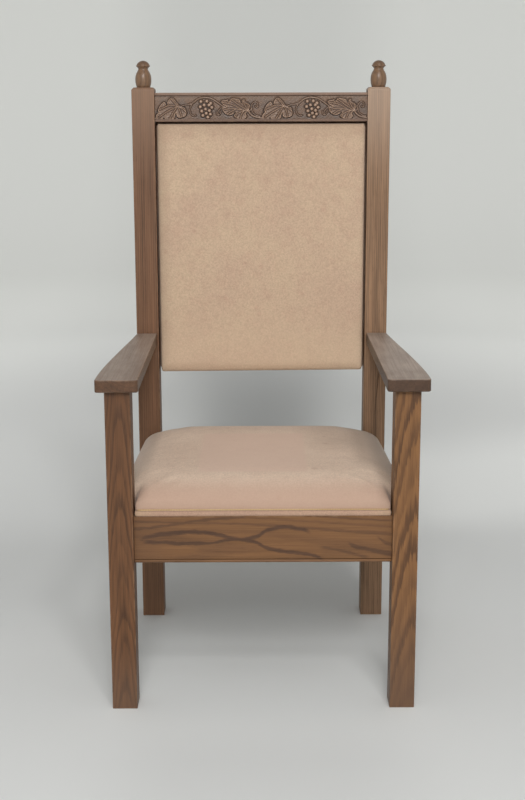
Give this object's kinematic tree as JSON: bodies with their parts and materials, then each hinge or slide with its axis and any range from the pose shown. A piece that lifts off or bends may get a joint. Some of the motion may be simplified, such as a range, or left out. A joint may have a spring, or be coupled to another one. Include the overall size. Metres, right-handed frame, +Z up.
{
  "type": "pulpit chair",
  "caption": "Tall oak armchair for a pulpit: square legs, shaped arms, carved vine crest rail, turned finials, padded back panel and crowned upholstered seat.",
  "frame": {"origin": "on the floor, at the centre of the chair's overall width and depth", "axes": "+X to the right as seen from the front, +Y to the back, +Z up"},
  "size_m": [0.617, 0.544, 1.233],
  "materials": {
    "oak": "stained oak, satin varnish",
    "oak_arms": "stained oak, worn satin varnish",
    "carved_oak": "stained and carved, satin varnish",
    "birch": "bare plywood and blocks",
    "plush": "faded short-pile plush",
    "lining": "plain woven lining",
    "foam": "upholstery foam",
    "dust_cloth": "black cambric",
    "steel": "zinc-plated"
  },
  "bodies": {
    "root": {"front_leg_left": "oak", "front_leg_right": "oak", "back_post_left": "oak", "back_post_right": "oak", "front_seat_rail": "oak", "back_seat_rail": "oak", "side_seat_rail_left": "oak", "side_seat_rail_right": "oak", "crest_rail": "oak", "upper_back_rail": "oak", "lower_back_rail": "oak", "finial_left": "oak", "finial_right": "oak", "vine_moulding": "carved_oak", "arm_left": "oak_arms", "arm_right": "oak_arms", "arm_front_dowels": "birch", "arm_back_dowels": "birch", "corner_block_front_left": "birch", "corner_block_front_right": "birch", "corner_block_back_left": "birch", "corner_block_back_right": "birch", "corner_block_screws": "steel", "seat_screws": "steel", "back_panel_screws": "steel", "seat_board": "birch", "back_board": "birch", "seat_foam": "foam", "back_foam": "foam", "seat_cover": "plush", "back_cover": "plush", "outside_back": "lining", "dust_cover": "dust_cloth"}
  },
  "joints": []
}
